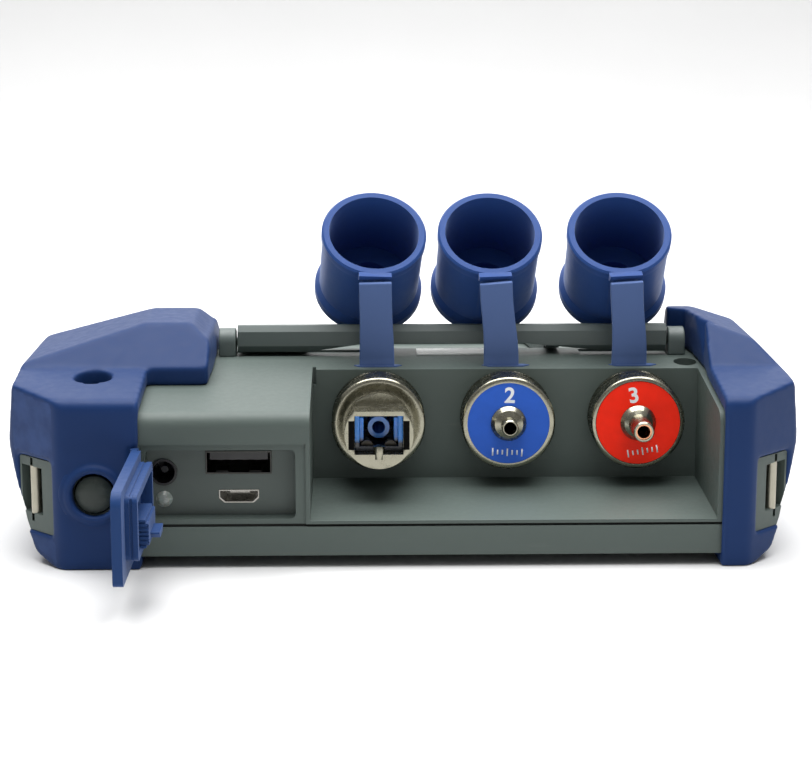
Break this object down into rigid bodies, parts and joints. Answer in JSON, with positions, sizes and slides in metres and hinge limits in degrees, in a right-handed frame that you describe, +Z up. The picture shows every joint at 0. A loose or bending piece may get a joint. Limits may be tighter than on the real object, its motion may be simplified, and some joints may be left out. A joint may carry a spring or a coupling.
{
  "type": "optical time domain reflectometer",
  "caption": "Handheld fibre tester lying screen-down on rubber corner boots, with tethered dust caps, turning fibre adapters, a hinged socket door and a folding stand.",
  "frame": {"origin": "centre of the bounding box's bottom, with the socket door open as in the rest pose", "axes": "+X to the right along the connector end, +Y from the connector end to the far end, +Z up (the back of the instrument faces up)"},
  "size_m": [0.1498, 0.1526, 0.0656],
  "materials": {
    "case_grey": "fine textured grey moulding",
    "boot_blue": "matte blue rubber",
    "gasket": "black seal",
    "nickel": "turned nickel plate",
    "pin_steel": "brushed steel",
    "panel_grey": "fine textured grey moulding",
    "socket_metal": "tinned steel shell",
    "black_plastic": "black insulator",
    "lens_clear": "frosted light guide",
    "sc_blue": "gloss blue connector plastic",
    "ceramic": "ceramic sleeve",
    "disc_blue": "printed blue disc, bare of lettering",
    "disc_red": "printed red disc, bare of lettering",
    "copper": "copper-coloured liner",
    "window_glass": "dark display window",
    "lcd": "display module",
    "board_green": "circuit board",
    "battery_wrap": "wrapped cells",
    "module_metal": "plain metal can",
    "screw_steel": "dark steel screws",
    "label_white": "bare white label",
    "key_grey": "dark silicone keys"
  },
  "bodies": {
    "housing": {"rear_housing": "case_grey", "front_housing": "case_grey", "housing_seal": "gasket", "boot_front_left": "boot_blue", "boot_front_right": "boot_blue", "boot_rear_left": "boot_blue", "boot_rear_right": "boot_blue", "strap_anchor_left": "case_grey", "strap_anchor_right": "case_grey", "strap_pin_left": "pin_steel", "strap_pin_right": "pin_steel", "port_panel": "panel_grey", "usb_a_shell": "socket_metal", "usb_a_tongue": "black_plastic", "micro_usb_socket": "socket_metal", "dc_jack": "black_plastic", "charge_led": "lens_clear", "bulkhead_otdr": "nickel", "bulkhead_opm": "nickel", "bulkhead_vfl": "nickel", "display_window": "window_glass", "lcd_module": "lcd", "main_board": "board_green", "battery_pack": "battery_wrap", "optics_module": "module_metal", "housing_screws": "screw_steel", "label_plate": "label_white", "stand_pin_left": "case_grey", "stand_pin_right": "case_grey", "strap_root_otdr": "boot_blue", "strap_root_opm": "boot_blue", "strap_root_vfl": "boot_blue"},
    "door": {"port_door": "boot_blue"},
    "power": {"power_button": "panel_grey"},
    "otdr_port": {"otdr_adapter": "nickel", "otdr_insert": "sc_blue", "otdr_sleeve": "ceramic"},
    "opm_port": {"opm_adapter": "nickel", "opm_disc": "disc_blue", "opm_nozzle": "nickel"},
    "vfl_port": {"vfl_adapter": "nickel", "vfl_disc": "disc_red", "vfl_nozzle": "nickel", "vfl_liner": "copper"},
    "stand_frame": {"stand": "case_grey"},
    "strap_link_otdr": {"strap_otdr": "boot_blue"},
    "cap_body_otdr": {"cap_otdr": "boot_blue"},
    "strap_link_opm": {"strap_opm": "boot_blue"},
    "cap_body_opm": {"cap_opm": "boot_blue"},
    "strap_link_vfl": {"strap_vfl": "boot_blue"},
    "cap_body_vfl": {"cap_vfl": "boot_blue"},
    "key_enter_body": {"key_enter": "key_grey"},
    "key_up_body": {"key_up": "key_grey"},
    "key_down_body": {"key_down": "key_grey"},
    "key_left_body": {"key_left": "key_grey"},
    "key_right_body": {"key_right": "key_grey"},
    "key_menu_body": {"key_menu": "key_grey"},
    "key_back_body": {"key_back": "key_grey"},
    "key_test_body": {"key_test": "key_grey"},
    "key_save_body": {"key_save": "key_grey"}
  },
  "joints": [
    {"name": "port_door_hinge", "type": "hinge", "parent": "housing", "child": "door", "pos_m": [-0.0499, -0.0431, 0.015], "axis": [0, 0, 1], "range_deg": [0, 90]},
    {"name": "power_button_press", "type": "slide", "parent": "housing", "child": "power", "axis": [0, 1, 0], "range_m": [0, 0.001], "stiffness_N_per_m": 500},
    {"name": "otdr_adapter_turn", "type": "hinge", "parent": "housing", "child": "otdr_port", "pos_m": [-0.0049, -0.0195, 0.0232], "axis": [0, -1, 0], "continuous": true},
    {"name": "opm_adapter_turn", "type": "hinge", "parent": "housing", "child": "opm_port", "pos_m": [0.0204, -0.0195, 0.0232], "axis": [0, -1, 0], "continuous": true},
    {"name": "vfl_adapter_turn", "type": "hinge", "parent": "housing", "child": "vfl_port", "pos_m": [0.04565, -0.0195, 0.0232], "axis": [0, -1, 0], "continuous": true},
    {"name": "stand_hinge", "type": "hinge", "parent": "housing", "child": "stand_frame", "pos_m": [0, -0.0038, 0.0362], "axis": [1, 0, 0], "range_deg": [0, 55]},
    {"name": "strap_otdr_hinge", "type": "hinge", "parent": "housing", "child": "strap_link_otdr", "pos_m": [-0.00509, -0.0127, 0.03435], "axis": [0.9998, 0, 0.0175], "range_deg": [0, 77.76]},
    {"name": "cap_otdr_hinge", "type": "hinge", "parent": "strap_link_otdr", "child": "cap_body_otdr", "pos_m": [-0.00536, -0.0148, 0.0498], "axis": [0.9998, 0, 0.0175], "range_deg": [0, 147.54]},
    {"name": "strap_opm_hinge", "type": "hinge", "parent": "housing", "child": "strap_link_opm", "pos_m": [0.01951, -0.0127, 0.03431], "axis": [0.9968, 0, 0.0802], "range_deg": [0, 77.76]},
    {"name": "cap_opm_hinge", "type": "hinge", "parent": "strap_link_opm", "child": "cap_body_opm", "pos_m": [0.01827, -0.0148, 0.04971], "axis": [0.9968, 0, 0.0802], "range_deg": [0, 147.54]},
    {"name": "strap_vfl_hinge", "type": "hinge", "parent": "housing", "child": "strap_link_vfl", "pos_m": [0.04493, -0.0127, 0.03433], "axis": [0.9979, 0, 0.0645], "range_deg": [0, 77.76]},
    {"name": "cap_vfl_hinge", "type": "hinge", "parent": "strap_link_vfl", "child": "cap_body_vfl", "pos_m": [0.04393, -0.0148, 0.04974], "axis": [0.9979, 0, 0.0645], "range_deg": [0, 147.54]},
    {"name": "key_enter_press", "type": "slide", "parent": "housing", "child": "key_enter_body", "axis": [0, 0, 1], "range_m": [0, 0.0008], "stiffness_N_per_m": 300},
    {"name": "key_up_press", "type": "slide", "parent": "housing", "child": "key_up_body", "axis": [0, 0, 1], "range_m": [0, 0.0008], "stiffness_N_per_m": 300},
    {"name": "key_down_press", "type": "slide", "parent": "housing", "child": "key_down_body", "axis": [0, 0, 1], "range_m": [0, 0.0008], "stiffness_N_per_m": 300},
    {"name": "key_left_press", "type": "slide", "parent": "housing", "child": "key_left_body", "axis": [0, 0, 1], "range_m": [0, 0.0008], "stiffness_N_per_m": 300},
    {"name": "key_right_press", "type": "slide", "parent": "housing", "child": "key_right_body", "axis": [0, 0, 1], "range_m": [0, 0.0008], "stiffness_N_per_m": 300},
    {"name": "key_menu_press", "type": "slide", "parent": "housing", "child": "key_menu_body", "axis": [0, 0, 1], "range_m": [0, 0.0008], "stiffness_N_per_m": 300},
    {"name": "key_back_press", "type": "slide", "parent": "housing", "child": "key_back_body", "axis": [0, 0, 1], "range_m": [0, 0.0008], "stiffness_N_per_m": 300},
    {"name": "key_test_press", "type": "slide", "parent": "housing", "child": "key_test_body", "axis": [0, 0, 1], "range_m": [0, 0.0008], "stiffness_N_per_m": 300},
    {"name": "key_save_press", "type": "slide", "parent": "housing", "child": "key_save_body", "axis": [0, 0, 1], "range_m": [0, 0.0008], "stiffness_N_per_m": 300}
  ]
}
